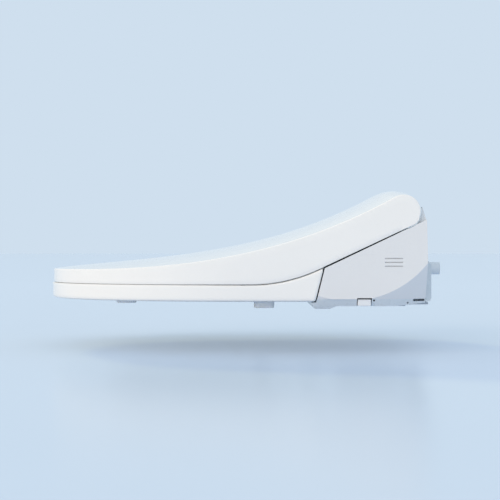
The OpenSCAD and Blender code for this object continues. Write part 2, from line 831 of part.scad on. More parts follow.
module lid_shell() color("white") {
  xs = [for (i = [-11:11]) half_w * i / 11];
  resize([0, 0, 0]) difference() {
    intersection() {
      profile_stack(xs, [for (x = xs) lid_profile(x)]);
      plan_prism(oval(lid_tip_y, half_w - 0.01, 80), 0, 260);
    }
    intersection() {
      profile_stack(xs, [for (x = xs) lid_hollow(x)]);
      plan_prism(oval(lid_tip_y + wall, half_w - wall, 80), -1, 260);
    }
    pair() side_prism(concat([[hinge_y, hinge_z]], [for (a = [-50:19:26]) about_hinge(60, a)]), lug_x0 - 2, tower_x1 + 2.4);
  }
}

module lid_lugs() color("white") {
  pair() difference() {
    union() {
      x_cyl(hinge_y, hinge_z, tower_x1 + 2.5, half_w - wall, 16);
    }
    x_cyl(hinge_y, hinge_z, tower_x1, half_w, pin_r);
  }
}

module lid_hinge_pins() color("silver") {
  pair() x_cyl(hinge_y, hinge_z, 158, half_w - wall, pin_r);
}

module lid_bumpers() color("lightgray") {
  pair() for (p = [[60, -430], [150, -300]]) z_cyl(p[0], p[1], sit_z + 0.5, shoulder(p[1]) + crown(p[0], p[1]) - 2, 5);
}

upper_cover();
lower_chassis();
rear_panel();
hinge_towers();
hinge_dampers();
nozzle_guide();
wand_motors();
wash_wand();
wash_tip();
bidet_wand();
bidet_tip();
wash_pinion();
bidet_pinion();
blower_housing();
blower_motor();
blower_impeller();
dryer_duct();
dryer_heater();
dryer_flap();
deodorizer_housing();
deodorizer_rotor();
carbon_filter();
water_tank();
tank_element();
inlet_valve();
valve_coil();
inlet_connector();
inlet_nut();
diverter_valve();
water_pipes();
control_board();
board_parts();
power_supply();
cord_gland();
case_screws();
receiver_window();
power_button();
wash_button();
release_button();
release_latch();
mounting_plate();
seat_top();
seat_bottom();
seat_heater();
seat_bumpers();
seat_hinge_pins();
lid_shell();
lid_lugs();
lid_hinge_pins();
lid_bumpers();
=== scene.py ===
"""Looks of the electric bidet seat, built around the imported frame. Lengths are in mm unless noted."""
import json
import math

import bmesh
import bpy
import numpy as np
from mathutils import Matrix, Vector


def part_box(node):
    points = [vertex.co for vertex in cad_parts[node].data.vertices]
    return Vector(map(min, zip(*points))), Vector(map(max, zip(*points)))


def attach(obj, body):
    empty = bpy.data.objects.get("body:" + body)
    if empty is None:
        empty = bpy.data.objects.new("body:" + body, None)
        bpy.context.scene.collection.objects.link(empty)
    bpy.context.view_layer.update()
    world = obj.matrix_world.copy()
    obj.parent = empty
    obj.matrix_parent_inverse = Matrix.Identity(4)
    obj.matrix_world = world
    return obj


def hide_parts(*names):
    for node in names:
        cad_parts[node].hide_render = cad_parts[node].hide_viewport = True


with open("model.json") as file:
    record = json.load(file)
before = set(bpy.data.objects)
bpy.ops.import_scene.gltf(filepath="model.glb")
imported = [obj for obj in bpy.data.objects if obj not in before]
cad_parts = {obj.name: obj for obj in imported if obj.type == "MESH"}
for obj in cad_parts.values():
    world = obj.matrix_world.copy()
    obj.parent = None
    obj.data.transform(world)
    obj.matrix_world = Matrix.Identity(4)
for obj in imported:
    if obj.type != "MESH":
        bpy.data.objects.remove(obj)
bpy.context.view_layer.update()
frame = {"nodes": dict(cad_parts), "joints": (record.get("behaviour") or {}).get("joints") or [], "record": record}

MM = 0.001


# ---------- sizes, from the frame and from the design's own formulas ----------

def node_box(node):
    """A CAD node's lowest and highest corner, in mm."""
    low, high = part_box(node)
    return np.array(low) / MM, np.array(high) / MM


LID_LOW, LID_HIGH = node_box("lid_shell")
SEAT_LOW = node_box("seat_top")[0]
HINGE = next(j for j in frame["joints"] if j["name"] == "seat_hinge")["pos_m"]
HINGE_Y, HINGE_Z = HINGE[1] / MM, HINGE[2] / MM
HALF_W = LID_HIGH[0]
SEAT_TIP, LID_TIP = SEAT_LOW[1], LID_LOW[1]

# plan outline: an oval front of this power, straight sides behind its widest point
WIDEST_Y, OVAL_POWER = -170.0, 2.3
# wall of every shell, seam along the base, seam at the front
WALL, SEAM, FRONT_SEAM = 3.0, 1.3, 0.25
# where the seam starts to widen, and over what length
SEAM_GROWS_Y, SEAM_GROWS_RUN = -300, 150

# lid: lower edge and shoulder at the tip, how far and how steeply the shoulder rises, height of the crown
RIM_Z, SHOULDER_Z, SHOULDER_RISE = 31.4, 50.5, 97.6
SHOULDER_POWER, SHOULDER_RUN = 2.75, 475.5
CROWN, ROLL_R = 14.0, 21.6
# straight rear stretch of the line under the lid: its slope and one point on it
TOP_SLOPE, FRONT_TOP_Y, FRONT_TOP_Z = 0.47, -93.8, 54.5
TOP_ANGLE = math.atan(TOP_SLOPE)
LINE_ARC_R = 206.0
# angles of the roll round the hinge line: tangent to the top, lower lip, and end of the shell
ROLL_START, ROLL_LIP, ROLL_END = 119.1, -64.8, -30.0
# openings in the roll for the hinge towers: their sides, and the angle where they begin
NOTCH_X = (110.0, 178.4)
NOTCH_TOP = 26.0
# lid edges: fillet at the shoulder, rounded lip below
FILLET, LIP = 1.6, 0.9

# seat ring: underside, hole in the middle, inset of the ring inside the lid
RING_Z = SEAT_LOW[2]
OPEN_MID_Y, OPEN_HALF_W, OPEN_HALF_L, EGG_POWER = -262.0, 105.0, 138.0, 0.92
UPPER_INSET, UPPER_TIP_INSET = 5.2, 2
# height of the sitting surface where it is flat, where and how it rises towards the hinge
SIT_Z, SIT_RISE, SIT_RISE_Y, SIT_RISE_LENGTH, SIT_POWER = 44.5, 53, -250, 214, 1.45
# hinge arms of the ring: middle, half width, radius of the eye
ARM_X, ARM_HALF_W, ARM_EYE_R = 125.0, 13.0, 17

# slots in the cheek of the base: ends, height of the lowest, distance between them, height of each
SLOT_Y, SLOT_Z, SLOT_PITCH, SLOT_H = (-16.8, 6.3), 54.7, 5.0, 1.4
# inlet stub: middle and radius
INLET_X, INLET_Z, INLET_R = 100.0, 51.5, 8.33

FLOOR_Z = -60.0

ARC_END_Y = FRONT_TOP_Y + (RIM_Z + LINE_ARC_R * (1 - math.cos(TOP_ANGLE)) - FRONT_TOP_Z) / TOP_SLOPE
ARC_START_Y = ARC_END_Y - LINE_ARC_R * math.sin(TOP_ANGLE)


def lid_line(y):
    """Height of the straight rear stretch of the line under the lid."""
    return FRONT_TOP_Z + TOP_SLOPE * (y - FRONT_TOP_Y)


def under_lid(y):
    """Height of the line under the lid: flat, then an arc, then straight."""
    y = np.asarray(y, float)
    inside = np.clip(y - ARC_START_Y, 0, LINE_ARC_R * math.sin(TOP_ANGLE))
    arc = RIM_Z + LINE_ARC_R - np.sqrt(LINE_ARC_R ** 2 - inside ** 2)
    return np.where(y > ARC_END_Y, lid_line(y), arc)


def gap(y):
    """Width of the seam under the lid: hairline at the front, wider along the base."""
    grown = np.clip((np.asarray(y, float) - SEAM_GROWS_Y) / SEAM_GROWS_RUN, 0, 1)
    return FRONT_SEAM + (SEAM - FRONT_SEAM) * grown


def shoulder(y):
    """Height of the lid's shoulder."""
    run = np.maximum(np.asarray(y, float) - SEAT_TIP, 0) / SHOULDER_RUN
    return SHOULDER_Z + SHOULDER_RISE * run ** SHOULDER_POWER


def shoulder_slope(y):
    """Rise of the shoulder over 1 mm around y."""
    return shoulder(y + 0.5) - shoulder(y - 0.5)


def sit(y):
    """Height of the sitting surface."""
    rise = np.clip(np.asarray(y, float) - SIT_RISE_Y, 0, 400) / SIT_RISE_LENGTH
    return SIT_Z + SIT_RISE * rise ** SIT_POWER


def base_top(y):
    """Height of the base's sloping top."""
    return lid_line(y) - SEAM / 2


def base_front(z):
    """Where the base's leaning front wall stands at height z."""
    return FRONT_TOP_Y - 10.2 + (z - 12.2) * 0.249


# ---------- mesh helpers ----------

def new_object(name, vertices_mm, faces, smooth_angle=32.0):
    """A mesh object from points in mm, with duplicate points merged and smooth shading below an angle."""
    mesh = bpy.data.meshes.new(name)
    mesh.from_pydata([tuple(MM * c for c in v) for v in vertices_mm], [], [tuple(f) for f in faces])
    bm = bmesh.new()
    bm.from_mesh(mesh)
    bmesh.ops.remove_doubles(bm, verts=bm.verts, dist=1e-6)
    bmesh.ops.dissolve_degenerate(bm, edges=bm.edges, dist=1e-6)
    bmesh.ops.recalc_face_normals(bm, faces=bm.faces)
    bm.to_mesh(mesh)
    bm.free()
    obj = bpy.data.objects.new(name, mesh)
    bpy.context.scene.collection.objects.link(obj)
    mesh.shade_smooth()
    mesh.set_sharp_from_angle(angle=math.radians(smooth_angle))
    return obj


def apply_modifiers(obj):
    """Bakes obj's modifiers into its mesh."""
    graph = bpy.context.evaluated_depsgraph_get()
    mesh = bpy.data.meshes.new_from_object(obj.evaluated_get(graph))
    obj.modifiers.clear()
    obj.data = mesh


def bevelled_copy(node, name, width_mm):
    """A copy of a CAD node with its flat faces joined and its edges rounded, standing for the node."""
    source = frame["nodes"][node]
    mesh = source.data.copy()
    mesh.materials.clear()
    bm = bmesh.new()
    bm.from_mesh(mesh)
    bmesh.ops.remove_doubles(bm, verts=bm.verts, dist=1e-6)
    bmesh.ops.dissolve_limit(bm, angle_limit=math.radians(0.6), verts=bm.verts, edges=bm.edges)
    bmesh.ops.recalc_face_normals(bm, faces=bm.faces)
    bm.to_mesh(mesh)
    bm.free()
    obj = bpy.data.objects.new(name, mesh)
    bpy.context.scene.collection.objects.link(obj)
    bevel = obj.modifiers.new("bevel", "BEVEL")
    bevel.width = width_mm * MM
    bevel.segments = 3
    bevel.limit_method = "ANGLE"
    bevel.angle_limit = math.radians(32)
    apply_modifiers(obj)
    obj.data.shade_smooth()
    obj.data.set_sharp_from_angle(angle=math.radians(30))
    weighted = obj.modifiers.new("weighted", "WEIGHTED_NORMAL")
    weighted.keep_sharp = True
    apply_modifiers(obj)
    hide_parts(node)
    return obj


def outfit(obj, body, material):
    """Gives a piece its body and material."""
    obj.data.materials.clear()
    obj.data.materials.append(MATERIALS[material])
    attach(obj, body)


# ---------- materials ----------

class Nodes:
    """Builds a node material around one Principled shader; place is the position on the object."""

    def __init__(self, name):
        self.material = bpy.data.materials.new(name)
        self.material.use_nodes = True
        self.tree = self.material.node_tree
        self.shader = self.tree.nodes["Principled BSDF"]
        self.place = self.tree.nodes.new("ShaderNodeTexCoord").outputs["Object"]

    def add(self, kind, inputs=None, **settings):
        node = self.tree.nodes.new(kind)
        for key, value in settings.items():
            setattr(node, key, value)
        for key, value in (inputs or {}).items():
            self.put(node.inputs[key], value)
        return node

    def put(self, socket, value):
        if isinstance(value, bpy.types.NodeSocket):
            self.tree.links.new(value, socket)
        else:
            socket.default_value = value

    def noise(self, scale, detail=3.0, rough=0.5):
        return self.add("ShaderNodeTexNoise", {"Vector": self.place, "Scale": scale, "Detail": detail,
                                               "Roughness": rough}).outputs["Fac"]

    def spread(self, value, low, high, from_low=0.3, from_high=0.7):
        return self.add("ShaderNodeMapRange", {"Value": value, "From Min": from_low, "From Max": from_high,
                                               "To Min": low, "To Max": high}).outputs["Result"]

    def mix(self, fac, a, b):
        node = self.add("ShaderNodeMix", {"Factor": fac}, data_type="RGBA")
        self.put(node.inputs[6], a)
        self.put(node.inputs[7], b)
        return node.outputs[2]

    def bump(self, height, strength, distance_mm):
        return self.add("ShaderNodeBump", {"Height": height, "Strength": strength,
                                           "Distance": distance_mm * MM}).outputs["Normal"]

    def finish(self, **sockets):
        for key, value in sockets.items():
            self.put(self.shader.inputs[key.replace("_", " ")], value)
        return self.material


def tint(colour, k):
    """A colour made k times as bright, with its alpha."""
    return (min(1, colour[0] * k), min(1, colour[1] * k), min(1, colour[2] * k), 1)


def moulded_gloss(name, colour, rough=(0.10, 0.20), coat=0.6):
    """Glossy injection-moulded plastic: faint flow clouds, a slight orange peel and uneven polish."""
    n = Nodes(name)
    clouds = n.noise(9.0, 4.0)
    polish = n.noise(55.0, 5.0, 0.6)
    peel = n.noise(520.0, 2.0)
    shade = n.mix(n.spread(clouds, 0, 1), tint(colour, 0.985), tint(colour, 1.01))
    return n.finish(Base_Color=shade, Roughness=n.spread(polish, *rough), Coat_Weight=coat,
                    Coat_Roughness=0.06, IOR=1.5, Normal=n.bump(peel, 0.04, 0.04))


def moulded_matte(name, colour, rough=(0.42, 0.58), grain=900.0):
    """Matte plastic with a fine spark-eroded grain."""
    n = Nodes(name)
    clouds = n.noise(14.0, 4.0)
    grit = n.add("ShaderNodeTexVoronoi", {"Vector": n.place, "Scale": grain}).outputs["Distance"]
    polish = n.noise(70.0, 4.0)
    shade = n.mix(n.spread(clouds, 0, 1), tint(colour, 0.985), tint(colour, 1.01))
    return n.finish(Base_Color=shade, Roughness=n.spread(polish, *rough), Normal=n.bump(grit, 0.12, 0.05))


def rubber(name, colour, clear=0.0):
    """Soft moulded rubber or silicone with a dusty surface; clear lets light into it."""
    n = Nodes(name)
    dust = n.noise(160.0, 6.0, 0.65)
    shade = n.mix(n.spread(dust, 0, 1), tint(colour, 0.93), tint(colour, 1.05))
    return n.finish(Base_Color=shade, Roughness=n.spread(dust, 0.35, 0.55),
                    Transmission_Weight=clear, IOR=1.43,
                    Subsurface_Weight=0.2, Subsurface_Radius=(0.003, 0.003, 0.004),
                    Normal=n.bump(n.noise(700.0, 2.0), 0.2, 0.06))


def brushed_metal(name, colour, direction=(1, 60, 60)):
    """Drawn or rolled metal with fine lines along one axis."""
    n = Nodes(name)
    stretched = n.add("ShaderNodeMapping", {"Vector": n.place, "Scale": direction}).outputs["Vector"]
    lines = n.add("ShaderNodeTexNoise", {"Vector": stretched, "Scale": 60.0, "Detail": 6.0}).outputs["Fac"]
    stain = n.noise(25.0, 3.0)
    shade = n.mix(n.spread(stain, 0, 1), tint(colour, 0.9), tint(colour, 1.06))
    return n.finish(Base_Color=shade, Metallic=1.0, Roughness=n.spread(lines, 0.22, 0.42),
                    Normal=n.bump(lines, 0.15, 0.03))


def wound_copper(name):
    """Enamelled windings under tape: fine bands round the coil."""
    n = Nodes(name)
    bands = n.add("ShaderNodeTexWave", {"Vector": n.place, "Scale": 260.0, "Distortion": 0.6},
                  bands_direction="Z").outputs["Fac"]
    shade = n.mix(n.spread(bands, 0, 1, 0, 1), (0.30, 0.13, 0.05, 1), (0.62, 0.31, 0.14, 1))
    return n.finish(Base_Color=shade, Metallic=0.6, Roughness=n.spread(bands, 0.3, 0.5, 0, 1),
                    Normal=n.bump(bands, 0.4, 0.2))


def circuit_board(name):
    """Green solder mask over copper tracks."""
    n = Nodes(name)
    tracks = n.add("ShaderNodeTexBrick", {"Vector": n.place, "Scale": 90.0, "Mortar Size": 0.03,
                                          "Color1": (0.01, 0.16, 0.06, 1), "Color2": (0.01, 0.20, 0.08, 1),
                                          "Mortar": (0.06, 0.33, 0.13, 1)})
    gloss = n.noise(120.0, 3.0)
    return n.finish(Base_Color=tracks.outputs["Color"], Roughness=n.spread(gloss, 0.25, 0.4),
                    Normal=n.bump(tracks.outputs["Fac"], 0.4, 0.1))


def heating_foil(name):
    """Orange polyimide foil with its meandering trace."""
    n = Nodes(name)
    trace = n.add("ShaderNodeTexWave", {"Vector": n.place, "Scale": 30.0, "Distortion": 2.0},
                  bands_direction="Y").outputs["Fac"]
    shade = n.mix(n.spread(trace, 0, 1, 0.45, 0.55), (0.55, 0.24, 0.04, 1), (0.78, 0.62, 0.38, 1))
    return n.finish(Base_Color=shade, Roughness=n.spread(n.noise(80.0), 0.25, 0.4),
                    Normal=n.bump(trace, 0.2, 0.1))


MATERIALS = {
    "white_gloss": moulded_gloss("white_gloss", (0.90, 0.90, 0.895)),
    # painted shade: the base's side gets a darker, bluer copy of the lid's white, standing in for the shade it
    # sits in
    "cover_white": moulded_gloss("cover_white", (0.77, 0.785, 0.81)),
    # painted shade: the low, down-facing chassis gets a darker, bluer copy of the white; its rougher, less coated
    # finish is the part's own
    "grey_white": moulded_gloss("grey_white", (0.70, 0.755, 0.80), (0.22, 0.34), 0.25),
    "damper_grey": moulded_matte("damper_grey", (0.62, 0.64, 0.67)),
    "dark_plastic": moulded_matte("dark_plastic", (0.035, 0.035, 0.04)),
    "inner_grey": moulded_matte("inner_grey", (0.50, 0.52, 0.54)),
    "zinc_steel": brushed_metal("zinc_steel", (0.66, 0.67, 0.69)),
    "heater_ceramic": moulded_matte("heater_ceramic", (0.42, 0.16, 0.06), (0.6, 0.8), 500.0),
    "carbon_black": moulded_matte("carbon_black", (0.012, 0.012, 0.012), (0.7, 0.95), 450.0),
    "steel": brushed_metal("steel", (0.72, 0.73, 0.74), (60, 60, 2)),
    "valve_white": moulded_matte("valve_white", (0.80, 0.80, 0.77), (0.3, 0.45)),
    "copper_coil": wound_copper("copper_coil"),
    "inlet_plastic": moulded_matte("inlet_plastic", (0.80, 0.83, 0.86), (0.28, 0.42), 1200.0),
    "inlet_dark": moulded_matte("inlet_dark", (0.42, 0.47, 0.54), (0.3, 0.45), 1200.0),
    "silicone_pipe": rubber("silicone_pipe", (0.74, 0.77, 0.78), 0.2),
    "board_green": circuit_board("board_green"),
    "gland_rubber": rubber("gland_rubber", (0.10, 0.11, 0.12)),
    "window_black": moulded_gloss("window_black", (0.012, 0.012, 0.014), (0.04, 0.1), 1.0),
    "heater_foil": heating_foil("heater_foil"),
    "clear_rubber": rubber("clear_rubber", (0.93, 0.94, 0.96), 0.05),
    "wand_white": moulded_gloss("wand_white", (0.82, 0.83, 0.84), (0.08, 0.16)),
    "gear_acetal": moulded_matte("gear_acetal", (0.80, 0.76, 0.62), (0.3, 0.45), 1500.0),
    "gauze_grey": moulded_matte("gauze_grey", (0.62, 0.64, 0.67)),
    "button_white": moulded_gloss("button_white", (0.80, 0.83, 0.87), (0.2, 0.3), 0.3),
    "plate_grey": moulded_matte("plate_grey", (0.52, 0.56, 0.61)),
}


# ---------- lid ----------

def oval_rows(tip_y, count):
    """(x, y, normal x, normal y) along the right half of the oval front, from tip to widest point."""
    rows = []
    depth = WIDEST_Y - tip_y
    for i in range(count + 1):
        a = 0.5 * math.pi * i / count
        s, c = math.sin(a), math.cos(a)
        x = HALF_W * s ** (2 / OVAL_POWER)
        y = WIDEST_Y - depth * max(c, 0) ** (2 / OVAL_POWER)
        nx = (x / HALF_W) ** (OVAL_POWER - 1) / HALF_W
        ny = -((WIDEST_Y - y) / depth) ** (OVAL_POWER - 1) / depth
        size = math.hypot(nx, ny)
        rows.append((x, y, nx / size, ny / size))
    return rows


def lid_stations():
    """Rows across the lid from its tip to the end of the roll: outline point, plan normal, shoulder point S,
    lower edge point B, and the direction u that stands on the top surface."""
    tangent_y = HINGE_Y + ROLL_R * math.cos(math.radians(ROLL_START))
    lip_y = HINGE_Y + ROLL_R * math.cos(math.radians(ROLL_LIP))
    split_y = -60.0
    plan = oval_rows(LID_TIP, 56)
    plan += [(HALF_W, y, 1.0, 0.0) for y in np.linspace(WIDEST_Y, tangent_y, 46)[1:]]
    rows = []
    for x, y, nx, ny in plan:
        slope = math.atan(float(shoulder_slope(y)))
        rows.append({"x": x, "n": (nx, ny), "S": (y, float(shoulder(y))),
                     "u": (-math.sin(slope), math.cos(slope)), "bulge": CROWN * math.cos(slope)})
    angles = list(np.linspace(ROLL_START, NOTCH_TOP, 24)) + list(np.linspace(NOTCH_TOP, ROLL_END, 14))[1:]
    for angle in angles[1:]:
        a = math.radians(angle)
        u = (math.cos(a), math.sin(a))
        rows.append({"x": HALF_W, "n": (1.0, 0.0), "S": (HINGE_Y + ROLL_R * u[0], HINGE_Z + ROLL_R * u[1]),
                     "u": u, "bulge": CROWN * math.cos(math.radians(ROLL_START - 90)), "angle": angle})
    # the lower edge follows the shoulder point for point, by length, once past split_y
    walked, total = [], 0.0
    for i, row in enumerate(rows):
        if (i and row["S"][0] > split_y) or "angle" in row:
            total += math.dist(row["S"], rows[i - 1]["S"])
        walked.append(total)
    line_length = (lip_y - split_y) / math.cos(TOP_ANGLE)
    arc_length = math.radians(ROLL_END - ROLL_LIP) * ROLL_R
    for row, length in zip(rows, walked):
        if length == 0:
            y = row["S"][0]
            row["B"] = (y, float(under_lid(y) + gap(y) / 2))
            continue
        along = length / total * (line_length + arc_length)
        if along <= line_length:
            y = split_y + along * math.cos(TOP_ANGLE)
            row["B"] = (y, float(under_lid(y) + gap(y) / 2))
        else:
            a = math.radians(ROLL_LIP) + (along - line_length) / ROLL_R
            row["B"] = (HINGE_Y + ROLL_R * math.cos(a), HINGE_Z + ROLL_R * math.sin(a))
    return rows


def lid_columns():
    """Shares of the half width at which the top's columns stand, from the edge to the middle."""
    edge = HALF_W - FILLET
    outer, inner = NOTCH_X[1] / edge, NOTCH_X[0] / edge
    shares = list(np.linspace(0.985, outer, 3)) + list(np.linspace(outer, inner, 8))[1:]
    return shares + list(np.linspace(inner, 0, 13))[1:]


def lid_section(row, columns):
    """The closed cross-section of the lid at one row, as points in mm. Returns (outer half, inner half)."""
    x, (nx, ny), (sy, sz), (by, bz), (uy, uz) = row["x"], row["n"], row["S"], row["B"], row["u"]
    rise = math.hypot(sy - by, sz - bz)
    scale = min(1.0, rise / 6)
    fillet, lip = FILLET * scale, LIP * scale
    up = ((sy - by) / rise, (sz - bz) / rise) if rise > 1e-6 else (uy, uz)

    def skirt(inset, height):
        """A point on the skirt, this far in from its outer face and up from its lower edge."""
        return (x - inset * nx, by + up[0] * height - inset * ny, bz + up[1] * height)

    outer = [skirt(lip, 0), skirt(lip * 0.3, lip * 0.3), skirt(0, lip)]
    top_y, top_z = sy - fillet * uy, sz - fillet * uz
    low = skirt(0, lip)
    for k in range(1, 6):
        t = k / 6
        outer.append((x, low[1] + (top_y - low[1]) * t, low[2] + (top_z - low[2]) * t))
    for k in range(6):
        a = 0.5 * math.pi * k / 5
        away, lift = fillet * (1 - math.cos(a)), fillet * math.sin(a)
        outer.append((x - away * nx, top_y + lift * uy - away * ny, top_z + lift * uz))
    edge_x, edge_y, edge_z = outer[-1]
    for share in columns:
        cx = edge_x * share
        lift = row["bulge"] * (edge_x ** 2 - cx ** 2) / HALF_W ** 2
        outer.append((cx, edge_y + lift * uy, edge_z + lift * uz))
    inner = [skirt(WALL - lip, 0), skirt(WALL, lip)]
    roof_y, roof_z = sy - WALL * uy, sz - WALL * uz
    low = skirt(WALL, lip)
    for k in range(1, 5):
        t = k / 4
        inner.append((x - WALL * nx, low[1] + (roof_y - WALL * ny - low[1]) * t,
                      low[2] + (roof_z - low[2]) * t))
    in_x, in_y, in_z = inner[-1]
    for share in columns:
        cx = in_x * share
        lift = row["bulge"] * (in_x ** 2 - cx ** 2) / HALF_W ** 2
        inner.append((cx, in_y + lift * uy, in_z + lift * uz))
    return outer, inner


def make_lid():
    """The lid: cross-sections lofted from tip to roll, with the two openings for the hinge towers."""
    rows, columns = lid_stations(), lid_columns()
    half_outer, half_inner = lid_section(rows[0], columns)
    n_outer, n_inner = len(half_outer), len(half_inner)
    skirt_outer, skirt_inner = n_outer - len(columns), n_inner - len(columns)
    vertices, index = [], []
    for row in rows:
        outer, inner = lid_section(row, columns)
        loop = outer + [(-p[0], p[1], p[2]) for p in outer[-2::-1]]
        back = inner + [(-p[0], p[1], p[2]) for p in inner[-2::-1]]
        start = len(vertices)
        vertices += loop + back
        index.append((start, start + len(loop)))
    long_outer, long_inner = 2 * n_outer - 1, 2 * n_inner - 1

    def in_notch(j, share_pair):
        """Whether the face between rows j and j + 1 and these two columns lies in an opening."""
        angle = rows[j + 1].get("angle")
        return angle is not None and angle < NOTCH_TOP - 0.1 and all(
            NOTCH_X[0] - 0.5 < s * (HALF_W - FILLET) < NOTCH_X[1] + 0.5 for s in share_pair)

    def column_shares(skirt):
        """Each loop point's share of the half width, None on the skirts."""
        half = [None] * skirt + columns
        return half + half[-2::-1]

    outer_shares, inner_shares = column_shares(skirt_outer), column_shares(skirt_inner)
    faces = []
    for j in range(len(rows) - 1):
        for shares, length, which in ((outer_shares, long_outer, 0), (inner_shares, long_inner, 1)):
            a, b = index[j][which], index[j + 1][which]
            for k in range(length - 1):
                pair = (shares[k], shares[k + 1])
                if None not in pair and in_notch(j, pair):
                    continue
                faces.append((a + k, a + k + 1, b + k + 1, b + k))
        # lips at both sides join the outer and the inner loop
        o0, i0 = index[j]
        o1, i1 = index[j + 1]
        faces.append((o0, i0, i1, o1))
        faces.append((o0 + long_outer - 1, o1 + long_outer - 1, i1 + long_inner - 1, i0 + long_inner - 1))
    # on the top, outer loop point k stands over inner loop point k - shift
    shift = skirt_outer - skirt_inner

    def wall(j0, k0, j1, k1):
        """Closes the shell's thickness along the edge from one loop point to another."""
        faces.append((index[j0][0] + k0, index[j1][0] + k1,
                      index[j1][1] + k1 - shift, index[j0][1] + k0 - shift))

    top_range = range(skirt_outer, long_outer - skirt_outer - 1)
    for j in range(len(rows) - 1):
        for k in range(skirt_outer, long_outer - skirt_outer):
            left = k > skirt_outer and in_notch(j, (outer_shares[k - 1], outer_shares[k]))
            right = k in top_range and in_notch(j, (outer_shares[k], outer_shares[k + 1]))
            if left != right:
                wall(j, k, j + 1, k)
    for k in top_range:
        pair = (outer_shares[k], outer_shares[k + 1])
        for j in range(1, len(rows) - 1):
            if in_notch(j, pair) and not in_notch(j - 1, pair):
                wall(j, k, j, k + 1)
        if not in_notch(len(rows) - 2, pair):
            wall(len(rows) - 1, k, len(rows) - 1, k + 1)
    # the ends of the last row, from the skirt's corner to the first top column
    o, i = index[-1]
    ring = [o + k for k in range(skirt_outer + 1)] + [i + k for k in range(skirt_inner, -1, -1)]
    faces.append(tuple(ring))
    ring = [o + long_outer - 1 - k for k in range(skirt_outer + 1)]
    ring += [i + long_inner - 1 - k for k in range(skirt_inner, -1, -1)]
    faces.append(tuple(ring))
    obj = new_object("lid_moulding", vertices, faces, 30.0)
    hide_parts("lid_shell")
    outfit(obj, "lid", "white_gloss")


# ---------- seat ring, from a distance field ----------

def distance_to_outline(points, outline):
    """Signed distance in the plane from points (N, 2) to a closed outline (M, 2), negative inside."""
    best = np.full(len(points), 1e9)
    inside = np.zeros(len(points), bool)
    for a, b in zip(outline, np.roll(outline, -1, axis=0)):
        ab = b - a
        ap = points - a
        t = np.clip((ap @ ab) / (ab @ ab), 0, 1)
        best = np.minimum(best, np.hypot(ap[:, 0] - t * ab[0], ap[:, 1] - t * ab[1]))
        crosses = (a[1] > points[:, 1]) != (b[1] > points[:, 1])
        if crosses.any() and a[1] != b[1]:
            inside ^= crosses & (points[:, 0] < a[0] + (points[:, 1] - a[1]) * ab[0] / ab[1])
    return np.where(inside, -best, best)


def smooth_max(a, b, k):
    """The larger of two distances, rounded over a width k where they are alike."""
    h = np.maximum(k - np.abs(a - b), 0) / k
    return np.maximum(a, b) + h * h * k / 4


def surface_net(field, low, step):
    """Points and quads of the zero surface of a field on a regular grid (surface nets)."""
    inside = field < 0
    nx, ny, nz = field.shape
    total = np.zeros((nx - 1, ny - 1, nz - 1, 3), np.float32)
    count = np.zeros((nx - 1, ny - 1, nz - 1), np.float32)
    for axis in range(3):
        one, two = [slice(None)] * 3, [slice(None)] * 3
        one[axis], two[axis] = slice(0, -1), slice(1, None)
        a, b = field[tuple(one)], field[tuple(two)]
        cross = inside[tuple(one)] != inside[tuple(two)]
        where = np.argwhere(cross)
        share = a[cross] / (a[cross] - b[cross])
        others = [d for d in range(3) if d != axis]
        for da in (0, 1):
            for db in (0, 1):
                cell = where.copy()
                cell[:, others[0]] -= da
                cell[:, others[1]] -= db
                offset = np.zeros((len(where), 3), np.float32)
                offset[:, axis] = share
                offset[:, others[0]] = da
                offset[:, others[1]] = db
                fits = ((cell >= 0) & (cell < np.array(count.shape))).all(1)
                i, j, k = cell[fits].T
                np.add.at(total, (i, j, k), offset[fits])
                np.add.at(count, (i, j, k), 1)
    used = count > 0
    number = np.full(count.shape, -1, np.int64)
    number[used] = np.arange(used.sum())
    cells = np.argwhere(used)
    points = low + (cells + total[used] / count[used][:, None]) * step
    quads = []
    for axis in range(3):
        one, two = [slice(None)] * 3, [slice(None)] * 3
        one[axis], two[axis] = slice(0, -1), slice(1, None)
        cross = inside[tuple(one)] != inside[tuple(two)]
        where = np.argwhere(cross)
        flip = inside[tuple(one)][cross]
        b, c = [d for d in range(3) if d != axis]
        ring = []
        for db, dc in ((0, 0), (1, 0), (1, 1), (0, 1)):
            cell = where.copy()
            cell[:, b] -= db
            cell[:, c] -= dc
            ring.append(cell)
        good = np.all([((r >= 0) & (r < np.array(number.shape))).all(1) for r in ring], axis=0)
        ids = np.stack([number[tuple(r[good].T)] for r in ring], axis=1)
        turned = flip[good] == (axis == 1)
        ids[turned] = ids[turned][:, ::-1]
        quads.append(ids)
    return points, np.concatenate(quads)


def seat_outline(tip_y):
    """The ring's plan outline: an oval front, then straight sides running past the hinge."""
    half = [(x, y) for x, y, _, _ in oval_rows(tip_y, 60)]
    right = half + [(HALF_W, 60.0)]
    return np.array(right + [(-x, y) for x, y in right[:0:-1]])


def egg_outline():
    """The plan outline of the hole in the ring."""
    a = np.linspace(0, 2 * np.pi, 180, endpoint=False)
    c, s = np.cos(a), np.sin(a)
    return np.stack([OPEN_HALF_W * np.sign(c) * np.abs(c) ** EGG_POWER,
                     OPEN_MID_Y + OPEN_HALF_L * np.sign(s) * np.abs(s) ** EGG_POWER], axis=1)


def arm_outline():
    """The side outline of a hinge arm: rooted in the ring, with a round eye at the hinge."""
    root, neck = -62.0, -36.0
    eye = [(HINGE_Y + ARM_EYE_R * math.cos(a), HINGE_Z + ARM_EYE_R * math.sin(a))
           for a in np.radians(np.arange(-88, 123, 10))]
    return np.array([(root, float(sit(root)) - 3), (root, float(base_top(root)) + 4),
                     (neck, float(base_top(neck)) + 1.5)] + eye)


